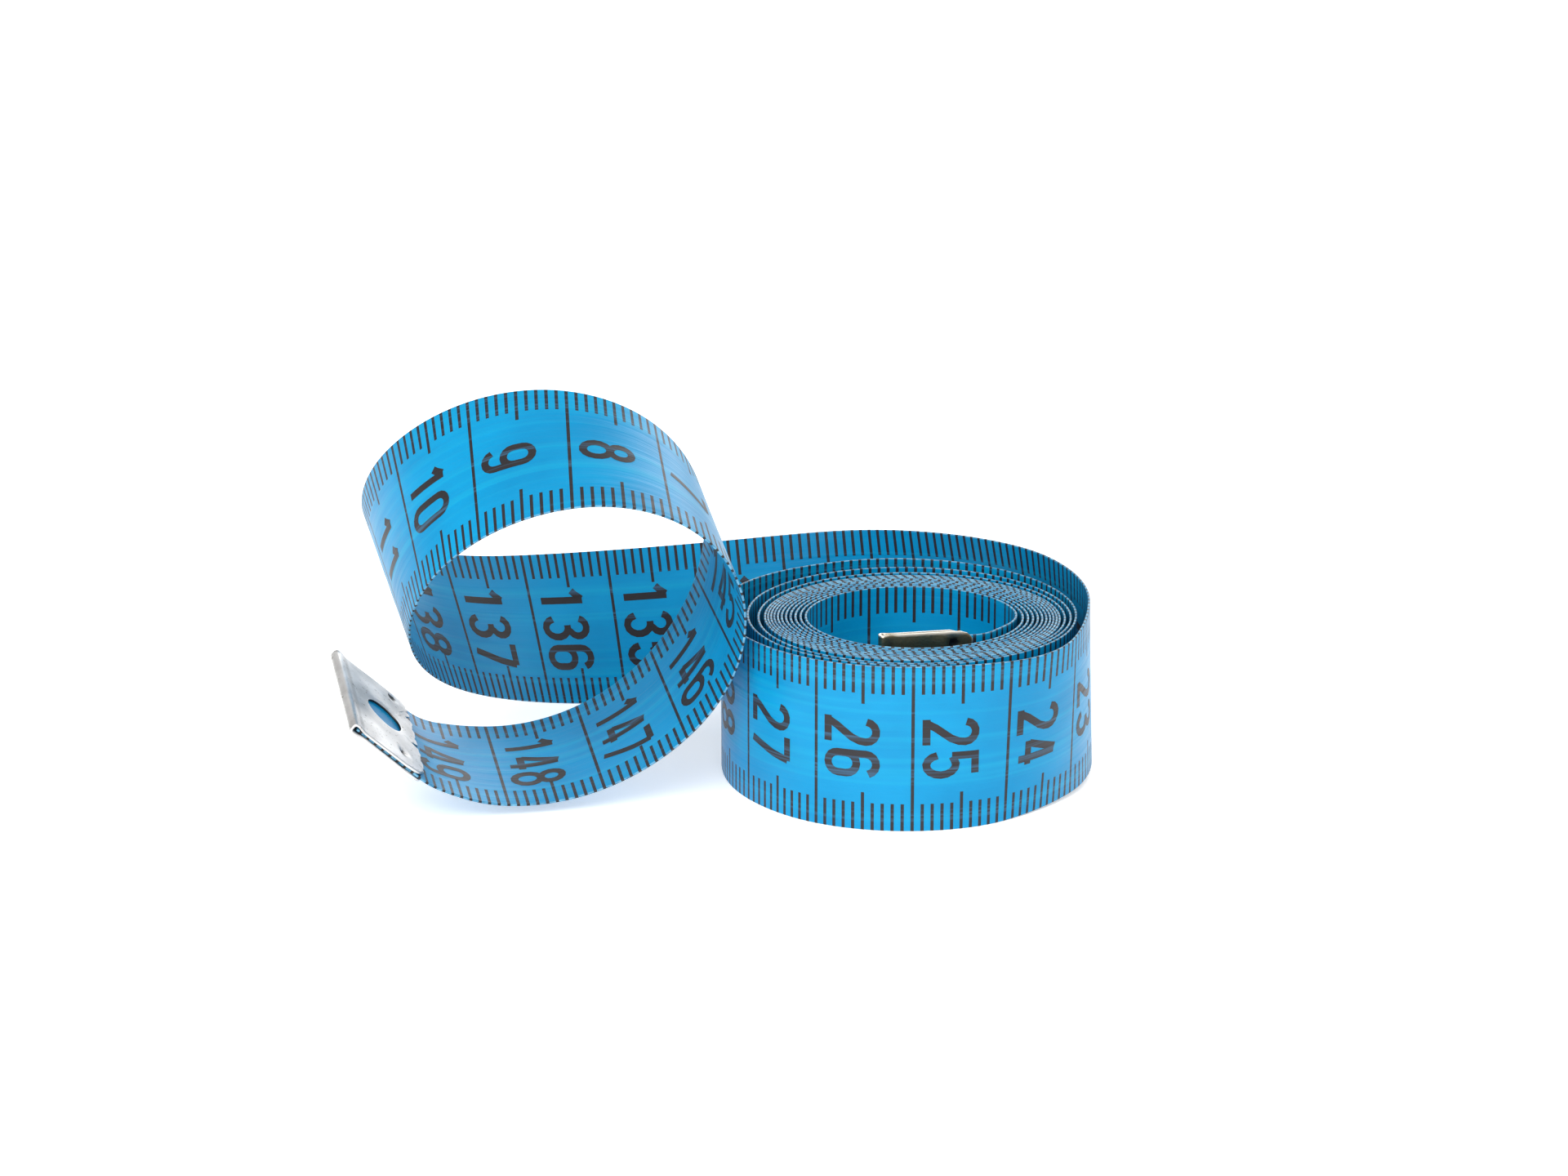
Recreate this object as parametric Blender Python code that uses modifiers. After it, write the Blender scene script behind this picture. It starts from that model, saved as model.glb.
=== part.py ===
"""Soft tailor's tape measure: a coated ribbon wound on edge into a roll.

The ribbon stands on its lower edge on the table.  Its free end leaves the
back of the roll, makes one leaning loop and lies along the table, closed by
a folded sheet-metal tip.  A second tip closes the inner end inside the eye.
Metres, +Z up, the camera side is -Y.  Distances "along" are measured along
the ribbon from its free end.
"""
import math

import bmesh
import bpy
import numpy as np
from mathutils import Matrix, Vector

# ---------------------------------------------------------------- ribbon
TAPE_WIDTH = 0.0173
TAPE_THICK = 0.00024
FLEX_GAP = 0.0003            # gap between two lengths of ribbon at a flexure

# ---------------------------------------------------------------- roll
ROLL_CENTRE = (0.0206, -0.0073)
ROLL_START = 0.2495          # along the ribbon, where the round roll begins
START_HEADING = 183.0        # way the ribbon runs at the front of the roll
FREE_LIFT = 0.00015          # free end above the table, clear of the round roll
ROLL_TURNS = 13.70           # from the front of the outer turn to the inner end
ROLL_PITCH = 0.000425        # mean radial step of the tight inner turns
ROLL_BOW = 0.000427          # how far the middle of them stands outside even steps
STEPS_PER_TURN = 40

# Outer, looser turns: (turns in from the front, radius in millimetres).
LOOSE_TURNS = (
    (0.00, 17.6),
    (0.09, 18.2),
    (0.17, 18.6),
    (0.25, 19.6),
    (0.34, 21.4),
    (0.42, 21.8),
    (0.50, 21.8),
    (0.56, 20.8),
    (0.61, 19.5),
    (0.66, 18.3),
    (0.71, 17.4),
    (0.76, 16.8),
    (0.82, 16.6),
    (0.91, 16.5),
    (1.00, 17.0),
    (1.12, 17.2),
    (1.25, 17.1),
    (1.34, 17.8),
    (1.42, 18.3),
    (1.50, 18.4),
    (1.56, 18.0),
    (1.66, 16.9),
    (1.76, 16.3),
    (1.91, 16.0),
    (2.00, 16.4),
    (2.12, 16.4),
    (2.25, 16.0),
    (2.42, 16.3),
    (2.56, 16.2),
    (2.76, 15.7),
    (3.00, 15.4),
)

# ---------------------------------------------------------------- free end
# (along in cm, bend in degrees per cm, twist in degrees per cm)
FREE_END = (
    (0.0, 0, 0),
    (1.0, 0, 0),
    (1.15, 81, -5),
    (1.5, 26, 6),
    (2.0, 28, 1),
    (4.0, 25, 4),
    (6.0, 37, -5),
    (8.0, 35, -11),
    (10.0, 28, -9),
    (12.0, 26, 2),
    (14.0, 11, 9),
    (16.0, 9, 4),
    (18.0, 20, 16),
    (20.0, 24, -7),
    (21.0, 18, -5),
    (22.0, 18, 3),
    (23.0, 32, -9),
    (24.0, 34, 9),
    (24.95, 20, 0),
)

# Tail inside the eye: (back from the inner end in cm, bend in degrees per cm)
INNER_TAIL = (
    (0.00, 0),
    (0.95, 0),
    (1.05, 190),
    (1.20, 190),
    (1.25, 0),
    (1.40, 0),
    (1.55, 80),
    (1.90, 80),
    (2.20, 60),
)
TAIL_LENGTH = 0.0220

# ---------------------------------------------------------------- flexures
FLEX_BACK = 0.152            # where the free end leaves the roll
FLEX_LEFT = 0.110            # left-hand bend of the loop
FLEX_LOW = 0.045             # foot of the loop, where it meets the table
FLEX_END = 0.022             # just before the end tip
FLEX_TAIL = 0.0040           # along the inner tail

# ---------------------------------------------------------------- end tips
TIP_LENGTH = 0.0098
TIP_START = 0.0008           # end of the ribbon to the outer face of the fold
TIP_PLATE = 0.00026
TIP_CLEAR = 0.00010          # leaf to ribbon face
TIP_OVERHANG = 0.00025       # leaf past each ribbon edge
TIP_HOLE = 0.0046
TIP_HOLE_AT = 0.0056         # hole centre from the fold
TIP_HOLE_UP = 0.0006         # hole centre above the middle of the ribbon
END_CLEAR = 0.00015          # end of the ribbon to the inside of the fold
STAKE_AT = 0.0034            # stakes either side of the hole, across
STAKE_SIZE = 0.0009

STEP = 0.0005                # step used when following a bend list


def material(name, colour, rough, metal=0.0):
    """Principled material of one colour."""
    mat = bpy.data.materials.new(name)
    mat.use_nodes = True
    shader = mat.node_tree.nodes["Principled BSDF"]
    shader.inputs["Base Color"].default_value = (*colour, 1.0)
    shader.inputs["Roughness"].default_value = rough
    shader.inputs["Metallic"].default_value = metal
    return mat


def smooth_list(pairs, x):
    """Smooth curve through (x, y) pairs with central-difference slopes."""
    a = np.array(pairs, dtype=float)
    slope = np.gradient(a[:, 1], a[:, 0])
    i = np.clip(np.searchsorted(a[:, 0], x) - 1, 0, len(a) - 2)
    h = a[i + 1, 0] - a[i, 0]
    u = (x - a[i, 0]) / h
    low = (2 * u**3 - 3 * u**2 + 1) * a[i, 1] + (3 * u**2 - 2 * u**3) * a[i + 1, 1]
    return low + h * ((u**3 - 2 * u**2 + u) * slope[i] + (u**3 - u**2) * slope[i + 1])


def roll_radius(turn):
    """Radius of the roll's middle line at a number of turns in."""
    last = LOOSE_TURNS[-1][0]
    loose = smooth_list(LOOSE_TURNS, np.minimum(turn, last)) / 1000
    inner = np.maximum(turn - last, 0.0)
    bow = ROLL_BOW * np.sin(math.pi * inner / (ROLL_TURNS - last))
    return loose - ROLL_PITCH * inner + bow


def turned(frame, bend, twist, step):
    """Turn a frame of columns (along, across, face) by one step."""
    axis = np.array([twist, -bend, 0.0]) * step
    angle = float(np.linalg.norm(axis))
    if angle < 1e-12:
        return frame
    x, y, z = axis / angle
    k = np.array([[0, -z, y], [z, 0, -x], [-y, x, 0]])
    return frame @ (np.eye(3) + math.sin(angle) * k + (1 - math.cos(angle)) * k @ k)


def follow(point, frame, middles, bends, twists, step):
    """Walk along a bend list, returning the points and frames passed."""
    points = [np.array(point, dtype=float)]
    frames = [frame]
    for i in range(len(middles)):
        half = turned(frames[-1], bends[i], twists[i], step / 2)
        points.append(points[-1] + half[:, 0] * step)
        frames.append(turned(half, bends[i], twists[i], step / 2))
    return np.array(points), np.array(frames)


def upright(heading):
    """Frame of a ribbon standing on edge and running at a heading."""
    along = np.array([math.cos(heading), math.sin(heading), 0.0])
    across = np.array([0.0, 0.0, 1.0])
    return np.column_stack([along, across, np.cross(along, across)])


def free_path():
    """Middle line from the free end to the front of the roll."""
    rows = np.array(FREE_END, dtype=float)
    count = round(ROLL_START / STEP)
    middles = (np.arange(count)[::-1] + 0.5) * STEP
    to_bend = math.radians(100.0)
    bends = np.interp(middles * 100, rows[:, 0], rows[:, 1]) * to_bend
    twists = np.interp(middles * 100, rows[:, 0], rows[:, 2]) * to_bend
    front = (ROLL_CENTRE[0], ROLL_CENTRE[1] - roll_radius(np.array(0.0)), TAPE_WIDTH / 2)
    frame = upright(math.radians(START_HEADING))
    points, frames = follow(front, frame, middles, bends, twists, -STEP)
    away = np.clip(np.arange(count + 1) * STEP / 0.05, 0.0, 1.0)
    points[:, 2] += FREE_LIFT * away**2 * (3 - 2 * away)
    return np.arange(count + 1) * STEP + ROLL_START - count * STEP, points[::-1], frames[::-1]


def roll_path():
    """Middle line of the roll from its front inwards."""
    turn = np.arange(0, ROLL_TURNS, 1 / 360)
    radius = roll_radius(turn)
    angle = -math.pi / 2 - turn * math.tau
    x = ROLL_CENTRE[0] + radius * np.cos(angle)
    y = ROLL_CENTRE[1] + radius * np.sin(angle)
    points = np.column_stack([x, y, np.full_like(x, TAPE_WIDTH / 2)])
    run = np.gradient(points, axis=0)
    headings = np.arctan2(run[:, 1], run[:, 0])
    frames = np.array([upright(h) for h in headings])
    length = np.linalg.norm(np.diff(points, axis=0), axis=1)
    return ROLL_START + np.append(0.0, np.cumsum(length)), points, frames


def tail_path(point, frame):
    """Middle line of the inner tail from the innermost turn."""
    rows = np.array(INNER_TAIL, dtype=float)
    count = round(TAIL_LENGTH / STEP)
    middles = (np.arange(count) + 0.5) * STEP
    left = TAIL_LENGTH - middles
    bends = np.interp(left * 100, rows[:, 0], rows[:, 1]) * math.radians(100.0)
    points, frames = follow(point, frame, middles, bends, 0 * bends, STEP)
    return np.arange(count + 1) * STEP, points, frames


def frame_at(path, along):
    """Point and frame of a path at one or many distances along it."""
    where, points, frames = path
    point = np.stack([np.interp(along, where, points[:, j]) for j in range(3)], -1)
    flat = frames.reshape(len(where), 9)
    mixed = np.stack([np.interp(along, where, flat[:, j]) for j in range(9)], -1)
    return point, mixed.reshape(np.shape(along) + (3, 3))


def add_object(name, bm, mat, group):
    """Finish a mesh as one named object of the group."""
    bmesh.ops.recalc_face_normals(bm, faces=bm.faces)
    mesh = bpy.data.meshes.new(name)
    bm.to_mesh(mesh)
    bm.free()
    mesh.materials.append(mat)
    obj = bpy.data.objects.new(name, mesh)
    group.objects.link(obj)
    return obj


def ribbon(name, path, alongs, mat, group):
    """Closed strip of ribbon through stations along a path."""
    points, frames = frame_at(path, alongs)
    side = frames[:, :, 1] * TAPE_WIDTH / 2
    face = frames[:, :, 2] * TAPE_THICK / 2
    rings = [points - side - face, points + side - face, points + side + face, points - side + face]
    bm = bmesh.new()
    rows = [[bm.verts.new(ring[i]) for ring in rings] for i in range(len(alongs))]
    for a, b in zip(rows, rows[1:]):
        for j in range(4):
            k = (j + 1) % 4
            bm.faces.new((a[j], a[k], b[k], b[j]))
    bm.faces.new(rows[0][::-1])
    bm.faces.new(rows[-1])
    return add_object(name, bm, mat, group)


def stations(first, last, step):
    """Even stations between two distances along."""
    return np.linspace(first, last, max(2, math.ceil((last - first) / step)) + 1)


def cutter(name, cuts, build, matrix):
    """Hidden wire cutter in its own collection."""
    bm = bmesh.new()
    build(bm)
    bmesh.ops.transform(bm, matrix=matrix, verts=bm.verts)
    bmesh.ops.recalc_face_normals(bm, faces=bm.faces)
    mesh = bpy.data.meshes.new(name)
    bm.to_mesh(mesh)
    bm.free()
    obj = bpy.data.objects.new(name, mesh)
    cuts.objects.link(obj)
    obj.hide_render = True
    obj.display_type = "WIRE"
    return obj


def tip_outline():
    """Bent centre line of the tip plate: leaf, round fold, leaf."""
    inner = TAPE_THICK / 2 + TIP_CLEAR
    middle = inner + TIP_PLATE / 2
    start = middle + TIP_PLATE / 2
    line = [(TIP_LENGTH, -middle)]
    for i in range(9):
        a = -math.pi / 2 - math.pi * i / 8
        line.append((start + middle * math.cos(a), middle * math.sin(a)))
    line.append((TIP_LENGTH, middle))
    return line


def end_tip(name, point, frame, mat, group, cuts):
    """Folded sheet tip: fold at x = 0, leaves along +x, width along y."""
    line = tip_outline()
    half = TAPE_WIDTH / 2 + TIP_OVERHANG
    bm = bmesh.new()
    low = [bm.verts.new((x, -half, z)) for x, z in line]
    top = [bm.verts.new((x, half, z)) for x, z in line]
    for i in range(len(line) - 1):
        bm.faces.new((low[i], low[i + 1], top[i + 1], top[i]))
    obj = add_object(name, bm, mat, group)
    across = frame[:, 1]
    along = frame[:, 0]
    face = np.cross(along, across)
    place = Matrix([list(row) for row in np.column_stack([along, across, face])]).to_4x4()
    place.translation = Vector(point)

    skin = obj.modifiers.new("plate", "SOLIDIFY")
    skin.thickness = TIP_PLATE
    skin.offset = 0.0
    skin.use_even_offset = True

    def round_hole(cut):
        spot = Matrix.Translation((TIP_HOLE_AT, TIP_HOLE_UP, 0))
        r = TIP_HOLE / 2
        bmesh.ops.create_cone(cut, cap_ends=True, segments=32, radius1=r, radius2=r, depth=0.01, matrix=spot)

    def notches(cut):
        for at, r in ((-1.0, 1.3), (-0.33, 0.7), (0.33, 0.7), (1.0, 1.3)):
            spot = Matrix.Translation((TIP_LENGTH + 0.0002, at * half, 0))
            r = r / 1000
            bmesh.ops.create_cone(cut, cap_ends=True, segments=20, radius1=r, radius2=r, depth=0.01, matrix=spot)

    def stakes(cut):
        for side in (-1, 1):
            spot = Matrix.Translation((TIP_LENGTH - 0.0022, side * STAKE_AT * 1.25, TAPE_THICK + 0.0012))
            size = Matrix.Diagonal((STAKE_SIZE, STAKE_SIZE * 1.6, 0.0022, 1.0))
            bmesh.ops.create_cube(cut, size=1.0, matrix=spot @ size)

    for label, build in (("hole", round_hole), ("notches", notches), ("stakes", stakes)):
        tool = cutter(f"{name}_{label}_cut", cuts, build, Matrix.Identity(4))
        cut = obj.modifiers.new(label, "BOOLEAN")
        cut.operation = "DIFFERENCE"
        cut.solver = "EXACT"
        cut.object = tool
        tool.matrix_world = place
    obj.matrix_world = place
    return obj


def main():
    for obj in list(bpy.data.objects):
        bpy.data.objects.remove(obj, do_unlink=True)
    group = bpy.data.collections.new("tailors_tape_measure")
    cuts = bpy.data.collections.new("cutters")
    bpy.context.scene.collection.children.link(group)
    bpy.context.scene.collection.children.link(cuts)

    vinyl = material("blue_vinyl", (0.0, 0.33, 0.76), 0.35)
    nickel = material("nickel_plate", (0.66, 0.65, 0.62), 0.3, 1.0)

    free = free_path()
    roll = roll_path()
    tail = tail_path(roll[1][-1], roll[2][-1])

    # The wound roll, with the loose outer turn that leads to the free end.
    outer = stations(FLEX_BACK + FLEX_GAP / 2, ROLL_START, 0.0025)
    point, frames = frame_at(free, outer)
    count = round(ROLL_TURNS * STEPS_PER_TURN)
    inner = np.interp(np.arange(1, count + 1) / STEPS_PER_TURN, np.arange(len(roll[0])) / 360, roll[0])
    inner_point, inner_frames = frame_at(roll, inner)
    last = np.arange(0.001, FLEX_TAIL - FLEX_GAP / 2 + 1e-6, 0.00095)
    last_point, last_frames = frame_at(tail, last)
    joined = (
        np.concatenate([outer, inner, inner[-1] + last]),
        np.concatenate([point, inner_point, last_point]),
        np.concatenate([frames, inner_frames, last_frames]),
    )
    ribbon("tape_roll", joined, joined[0], vinyl, group)

    # The free end, in the lengths that flex against each other.
    gap = FLEX_GAP / 2
    ribbon("tape_back_run", free, stations(FLEX_LEFT + gap, FLEX_BACK - gap, 0.002), vinyl, group)
    ribbon("tape_loop_top", free, stations(FLEX_LOW + gap, FLEX_LEFT - gap, 0.002), vinyl, group)
    ribbon("tape_low_run", free, stations(FLEX_END + gap, FLEX_LOW - gap, 0.002), vinyl, group)
    first = TIP_START + TIP_PLATE + TIP_CLEAR + END_CLEAR
    ribbon("tape_end", free, stations(first, FLEX_END - gap, 0.0012), vinyl, group)
    tail_end = TAIL_LENGTH - TIP_PLATE - TIP_CLEAR - END_CLEAR
    ribbon("tape_inner_tail", tail, stations(FLEX_TAIL + gap, tail_end, 0.0012), vinyl, group)

    # The two folded tips.
    point, frame = frame_at(free, TIP_START)
    end_tip("end_tip", point, frame, nickel, group, cuts)
    point, frame = frame_at(tail, TAIL_LENGTH)
    turned_round = np.column_stack([-frame[:, 0], frame[:, 1], -frame[:, 2]])
    seated = point + np.array([0.0, 0.0, TIP_OVERHANG])
    end_tip("inner_end_tip", seated, turned_round, nickel, group, cuts)


main()
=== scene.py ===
"""The looks of a soft tailor's tape measure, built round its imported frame."""

import math

import bpy
import numpy as np
from mathutils import Matrix, Vector


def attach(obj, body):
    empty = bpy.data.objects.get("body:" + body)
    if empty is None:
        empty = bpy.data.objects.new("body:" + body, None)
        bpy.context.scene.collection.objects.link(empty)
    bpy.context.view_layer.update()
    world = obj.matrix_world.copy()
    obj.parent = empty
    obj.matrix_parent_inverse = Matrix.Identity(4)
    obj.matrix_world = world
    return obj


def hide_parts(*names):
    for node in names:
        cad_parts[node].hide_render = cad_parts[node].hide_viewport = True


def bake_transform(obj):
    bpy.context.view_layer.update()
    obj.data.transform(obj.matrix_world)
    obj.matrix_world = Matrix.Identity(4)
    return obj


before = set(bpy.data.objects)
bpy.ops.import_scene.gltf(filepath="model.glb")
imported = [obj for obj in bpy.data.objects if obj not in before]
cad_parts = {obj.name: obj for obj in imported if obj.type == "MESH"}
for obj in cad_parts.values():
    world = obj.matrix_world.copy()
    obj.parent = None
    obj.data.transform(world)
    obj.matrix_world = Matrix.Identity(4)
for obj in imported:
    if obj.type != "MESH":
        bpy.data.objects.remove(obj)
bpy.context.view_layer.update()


# ---------------------------------------------------------------- camera
# A long lens a little above the table, looking down on the front of the roll
# and across the free loop.

LENS = 88.36
CAMERA_PLACE = (0.00725, -0.38910, 0.13172)
CAMERA_DOWN = 16.27

camera_data = bpy.data.cameras.new("camera")
camera_data.lens = LENS
camera_data.sensor_width = 36.0
camera_data.clip_start = 0.01
camera_data.clip_end = 20.0
camera = bpy.data.objects.new("camera", camera_data)
camera.location = CAMERA_PLACE
camera.rotation_euler = (math.radians(90.0 - CAMERA_DOWN), 0.0, 0.0)
bpy.context.scene.collection.objects.link(camera)
bpy.context.scene.camera = camera
bpy.context.scene.view_settings.view_transform = "Standard"


# ---------------------------------------------------------------- ribbon
# One 150 cm ribbon of glass yarn coated in soft blue vinyl, slit to width, so
# its long edges show paler.  It stands on edge, wound into a roll, and its
# free end makes a leaning loop.  The scale is printed in black on both faces.
# Distances along it start at the free end and "across" at the lower edge.

TAPE_WIDTH = 0.0173
TAPE_THICK = 0.00024
ROLL_CENTRE = (0.0206, -0.0073)
ROLL_START = 0.2495
START_HEADING = 183.0
FREE_LIFT = 0.00015          # lift of the free end over the line walked
LIFT_RUN = 0.05              # distance from the roll over which the lift grows
ROLL_TURNS = 13.70
ROLL_PITCH = 0.000425        # mean step from one tight turn to the next
ROLL_BOW = 0.000427          # set so that the ribbon is 150 cm long
TAIL_LENGTH = 0.0220
STEP = 0.0005                # step of the walk along the free end and the tail
TURN_POINTS = 360            # points on each turn of the roll
SCALE_LENGTH = 150           # printed centimetres

# Outer, looser turns: (turns in from the front, radius in millimetres).
LOOSE_TURNS = (
    (0.00, 17.6), (0.09, 18.2), (0.17, 18.6), (0.25, 19.6), (0.34, 21.4),
    (0.42, 21.8), (0.50, 21.8), (0.56, 20.8), (0.61, 19.5), (0.66, 18.3),
    (0.71, 17.4), (0.76, 16.8), (0.82, 16.6), (0.91, 16.5), (1.00, 17.0),
    (1.12, 17.2), (1.25, 17.1), (1.34, 17.8), (1.42, 18.3), (1.50, 18.4),
    (1.56, 18.0), (1.66, 16.9), (1.76, 16.3), (1.91, 16.0), (2.00, 16.4),
    (2.12, 16.4), (2.25, 16.0), (2.42, 16.3), (2.56, 16.2), (2.76, 15.7),
    (3.00, 15.4),
)

# Free end: (along in cm, bend in degrees per cm, twist in degrees per cm).
FREE_END = (
    (0.0, 0, 0), (1.0, 0, 0), (1.15, 81, -5), (1.5, 26, 6), (2.0, 28, 1),
    (4.0, 25, 4), (6.0, 37, -5), (8.0, 35, -11), (10.0, 28, -9), (12.0, 26, 2),
    (14.0, 11, 9), (16.0, 9, 4), (18.0, 20, 16), (20.0, 24, -7), (21.0, 18, -5),
    (22.0, 18, 3), (23.0, 32, -9), (24.0, 34, 9), (24.95, 20, 0),
)

# Tail inside the eye: (back from the inner end in cm, degrees per cm).
INNER_TAIL = (
    (0.00, 0), (0.95, 0), (1.05, 190), (1.20, 190), (1.25, 0),
    (1.40, 0), (1.55, 80), (1.90, 80), (2.20, 60),
)


def smooth_list(pairs, x):
    """Smooth curve through (x, y) pairs: Hermite cubics with central-difference slopes."""
    a = np.array(pairs, dtype=float)
    slope = np.gradient(a[:, 1], a[:, 0])
    i = np.clip(np.searchsorted(a[:, 0], x) - 1, 0, len(a) - 2)
    h = a[i + 1, 0] - a[i, 0]
    u = (x - a[i, 0]) / h
    low = (2 * u**3 - 3 * u**2 + 1) * a[i, 1] + (3 * u**2 - 2 * u**3) * a[i + 1, 1]
    return low + h * ((u**3 - 2 * u**2 + u) * slope[i] + (u**3 - u**2) * slope[i + 1])


def roll_radius(turn):
    """Radius at a number of turns in: the loose list, then one pitch less for every turn,
    bowed outwards by a half wave."""
    last = LOOSE_TURNS[-1][0]
    loose = smooth_list(LOOSE_TURNS, np.minimum(turn, last)) / 1000
    inner = np.maximum(turn - last, 0.0)
    bow = ROLL_BOW * np.sin(math.pi * inner / (ROLL_TURNS - last))
    return loose - ROLL_PITCH * inner + bow


def turned(axes, bend, twist, step):
    """A frame of columns (along, across, face) after one step of bend and twist."""
    spin = np.array([twist, -bend, 0.0]) * step
    angle = float(np.linalg.norm(spin))
    if angle < 1e-12:
        return axes
    x, y, z = spin / angle
    k = np.array([[0, -z, y], [z, 0, -x], [-y, x, 0]])
    return axes @ (np.eye(3) + math.sin(angle) * k + (1 - math.cos(angle)) * k @ k)


def follow(point, axes, bends, twists, step):
    """Points and frames passed while walking along a list of bends and twists."""
    points = [np.array(point, dtype=float)]
    frames = [axes]
    for bend, twist in zip(bends, twists):
        half = turned(frames[-1], bend, twist, step / 2)
        points.append(points[-1] + half[:, 0] * step)
        frames.append(turned(half, bend, twist, step / 2))
    return np.array(points), np.array(frames)


def upright(headings):
    """Frames of a ribbon standing on edge and running at these headings."""
    zero = np.zeros_like(headings)
    along = np.stack([np.cos(headings), np.sin(headings), zero], -1)
    across = np.stack([zero, zero, zero + 1.0], -1)
    return np.stack([along, across, np.cross(along, across)], -1)


def free_route():
    """Middle line from the free end to the front of the roll, walked back from the roll."""
    rows = np.array(FREE_END, dtype=float)
    count = round(ROLL_START / STEP)
    middles = (np.arange(count)[::-1] + 0.5) * STEP
    bends = np.interp(middles * 100, rows[:, 0], rows[:, 1]) * math.radians(100.0)
    twists = np.interp(middles * 100, rows[:, 0], rows[:, 2]) * math.radians(100.0)
    front = (ROLL_CENTRE[0], ROLL_CENTRE[1] - roll_radius(np.array(0.0)), TAPE_WIDTH / 2)
    start = upright(np.array(math.radians(START_HEADING)))
    points, frames = follow(front, start, bends, twists, -STEP)
    away = np.clip(np.arange(count + 1) * STEP / LIFT_RUN, 0.0, 1.0)
    points[:, 2] += FREE_LIFT * away**2 * (3 - 2 * away)
    return np.arange(count + 1) * STEP, points[::-1], frames[::-1]


def roll_route():
    """Middle line of the roll: a spiral wound clockwise inwards, its radius from roll_radius."""
    turn = np.arange(0, ROLL_TURNS, 1 / TURN_POINTS)
    angle = -math.pi / 2 - turn * math.tau
    x = ROLL_CENTRE[0] + roll_radius(turn) * np.cos(angle)
    y = ROLL_CENTRE[1] + roll_radius(turn) * np.sin(angle)
    points = np.column_stack([x, y, np.full_like(x, TAPE_WIDTH / 2)])
    run = np.gradient(points, axis=0)
    length = np.linalg.norm(np.diff(points, axis=0), axis=1)
    headings = np.arctan2(run[:, 1], run[:, 0])
    return ROLL_START + np.append(0.0, np.cumsum(length)), points, upright(headings)


def tail_route(roll):
    """Middle line of the inner tail, which leaves the innermost turn for the eye."""
    rows = np.array(INNER_TAIL, dtype=float)
    count = round(TAIL_LENGTH / STEP)
    middles = (np.arange(count) + 0.5) * STEP
    left = TAIL_LENGTH - middles
    bends = np.interp(left * 100, rows[:, 0], rows[:, 1]) * math.radians(100.0)
    points, frames = follow(roll[1][-1], roll[2][-1], bends, 0 * bends, STEP)
    return roll[0][-1] + np.arange(count + 1) * STEP, points, frames


free, wound = free_route(), roll_route()
tail = tail_route(wound)
ROUTE = [np.concatenate([free[i][:-1], wound[i], tail[i][1:]]) for i in range(3)]
ROLL_END = wound[0][-1]
TAPE_END = ROLL_END + TAIL_LENGTH


def ribbon_at(along):
    """Middle points and frames at distances along: Hermite cubics between the route's points,
    with the ribbon's own direction as slope, and frames mixed in proportion."""
    where, points, frames = ROUTE
    i = np.clip(np.searchsorted(where, along) - 1, 0, len(where) - 2)
    h = (where[i + 1] - where[i])[..., None]
    u = (along[..., None] - where[i][..., None]) / h
    near = points[i] * (2 * u**3 - 3 * u**2 + 1) + frames[i][..., 0] * h * (u**3 - 2 * u**2 + u)
    far = points[i + 1] * (3 * u**2 - 2 * u**3) + frames[i + 1][..., 0] * h * (u**3 - u**2)
    mix = u[..., None]
    return near + far, frames[i] * (1 - mix) + frames[i + 1] * mix


def on_ribbon(along, across, out):
    """Points at distances along, across from the lower edge, and out of the middle plane."""
    points, frames = ribbon_at(along)
    sideways = frames[..., 1] * (across - TAPE_WIDTH / 2)[..., None]
    return points + sideways + frames[..., 2] * out[..., None]


EDGE_ROUND = 0.00007         # rounding of the slit edges
TICK_WIDE = 0.00034          # printed lines, measured along the ribbon
TICK_SHORT = 0.0029
TICK_HALF = 0.0040
TICK_CLEAR = 0.2             # no line is printed nearer a length's end, in millimetres
UNDER_FIGURES = (0.0055, 0.0071)    # more columns, so that twisted faces stay below the figures

# Section of the ribbon as a loop (across, out): a face, an edge, the other face, an edge.
# SECTION_WAY is the direction it faces at each of its points.
HALF_THICK = TAPE_THICK / 2
to_middle = [EDGE_ROUND, 2 * EDGE_ROUND, TICK_SHORT, TICK_HALF, *UNDER_FIGURES, TAPE_WIDTH / 2]
across_face = np.concatenate([to_middle, TAPE_WIDTH - np.array(to_middle[-2::-1])])
edge_across = np.array([0.3, 0.0, 0.3]) * EDGE_ROUND
edge_out = np.array([0.75, 0.0, -0.75]) * HALF_THICK
level = 0 * across_face + HALF_THICK
SECTION_ACROSS = np.concatenate(
    [across_face, TAPE_WIDTH - edge_across, across_face[::-1], edge_across])
SECTION_OUT = np.concatenate([level, edge_out, -level, -edge_out])
section_run = np.roll([SECTION_ACROSS, SECTION_OUT], -1, axis=1) - [SECTION_ACROSS, SECTION_OUT]
section_run /= np.hypot(*section_run)
section_run += np.roll(section_run, 1, axis=1)
SECTION_WAY = np.array([-section_run[1], section_run[0]]) / np.hypot(*section_run)


def grid_faces(i, j, n, k, m):
    """Faces of a grid m points wide, from row i and column j to row n and column k."""
    return np.stack([i * m + j, n * m + j, n * m + k, i * m + k], -1).reshape(-1, 4)


def joined(shapes):
    """Shapes, each a point array and a list of face arrays, put together as one."""
    parts, faces, total = [], [], 0
    for part, part_faces in shapes:
        parts.append(part)
        faces += [f + total for f in part_faces]
        total += len(part)
    return np.concatenate(parts), faces


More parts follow.
